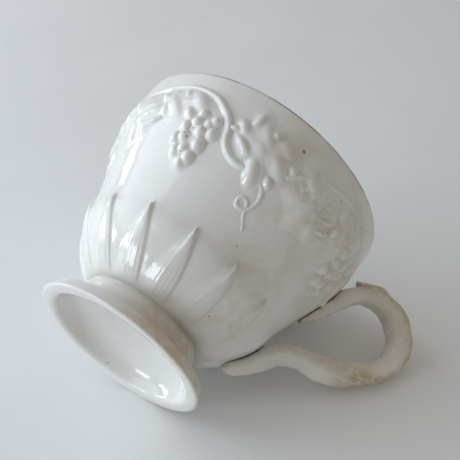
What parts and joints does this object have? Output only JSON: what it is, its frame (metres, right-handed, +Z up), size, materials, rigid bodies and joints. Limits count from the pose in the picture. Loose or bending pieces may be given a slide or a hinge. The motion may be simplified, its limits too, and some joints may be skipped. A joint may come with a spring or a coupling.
{
  "type": "earthenware cup",
  "caption": "White-glazed earthenware tea cup on a flared pedestal foot, with a leaf calyx, a grape vine in relief and a twig-shaped loop handle.",
  "frame": {"origin": "middle of the footprint of cup and handle, on the surface that the foot ring stands on", "axes": "+Z up along the cup's axis, +Y from the axis towards the handle, +X to the right when the cup is seen along +Y with the handle behind it"},
  "size_m": [0.0912, 0.1206, 0.075],
  "materials": {
    "white_glaze": "gloss",
    "stained_glaze": "gloss"
  },
  "bodies": {
    "root": {"bowl": "white_glaze", "pedestal_foot": "white_glaze", "handle": "stained_glaze", "grape_bunch_1": "white_glaze", "grape_bunch_2": "white_glaze", "grape_bunch_3": "white_glaze", "grape_bunch_4": "white_glaze", "vine_stem_1": "white_glaze", "vine_stem_2": "white_glaze", "vine_stem_3": "white_glaze", "vine_stem_4": "white_glaze", "bunch_leaf_1": "white_glaze", "bunch_leaf_2": "white_glaze", "bunch_leaf_3": "white_glaze", "bunch_leaf_4": "white_glaze", "side_leaf_1": "white_glaze", "side_leaf_2": "white_glaze", "side_leaf_3": "white_glaze", "side_leaf_4": "white_glaze", "vine_leaf_1": "white_glaze", "vine_leaf_3": "white_glaze", "vine_leaf_4": "white_glaze", "tendril_1": "white_glaze", "tendril_3": "white_glaze", "tendril_4": "white_glaze"}
  },
  "joints": []
}
